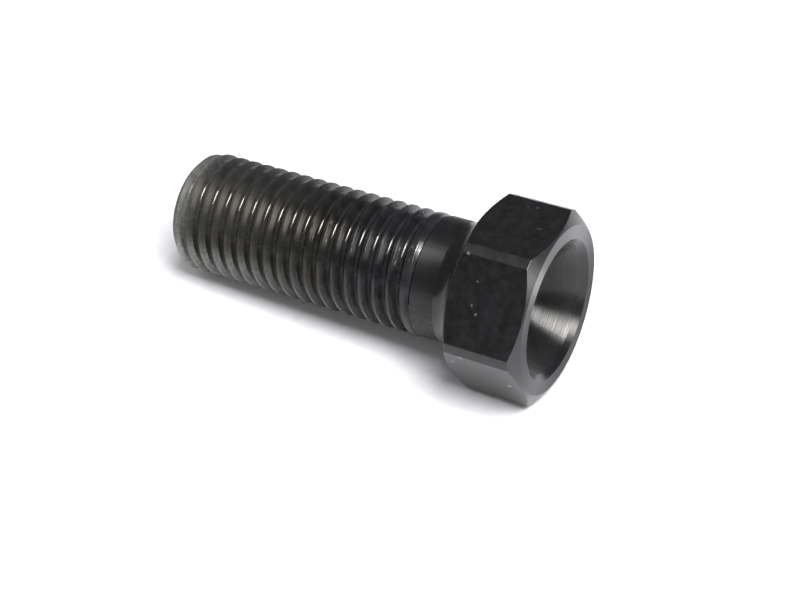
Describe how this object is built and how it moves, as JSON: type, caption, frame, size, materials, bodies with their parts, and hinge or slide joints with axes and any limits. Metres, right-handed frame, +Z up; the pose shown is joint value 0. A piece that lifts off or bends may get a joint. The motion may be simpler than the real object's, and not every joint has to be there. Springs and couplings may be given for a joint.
{
  "type": "valve adjusting screw",
  "caption": "Black steel valve adjusting screw: chamfered hexagon head with a ball cup in its front face, a plain neck and a fine-threaded shank.",
  "frame": {"origin": "middle of the screw's box on the surface that it lies on", "axes": "+Z up from that surface, +X from the end of the shank towards the head, along the screw's length; the axis of the screw rises 4.4 degrees towards the head, because the head is wider than the shank"},
  "size_m": [0.0338, 0.0156, 0.0144],
  "materials": {
    "blackened_steel": "turned and milled steel, black oxide, satin"
  },
  "bodies": {
    "root": {"adjusting_screw": "blackened_steel"}
  },
  "joints": []
}
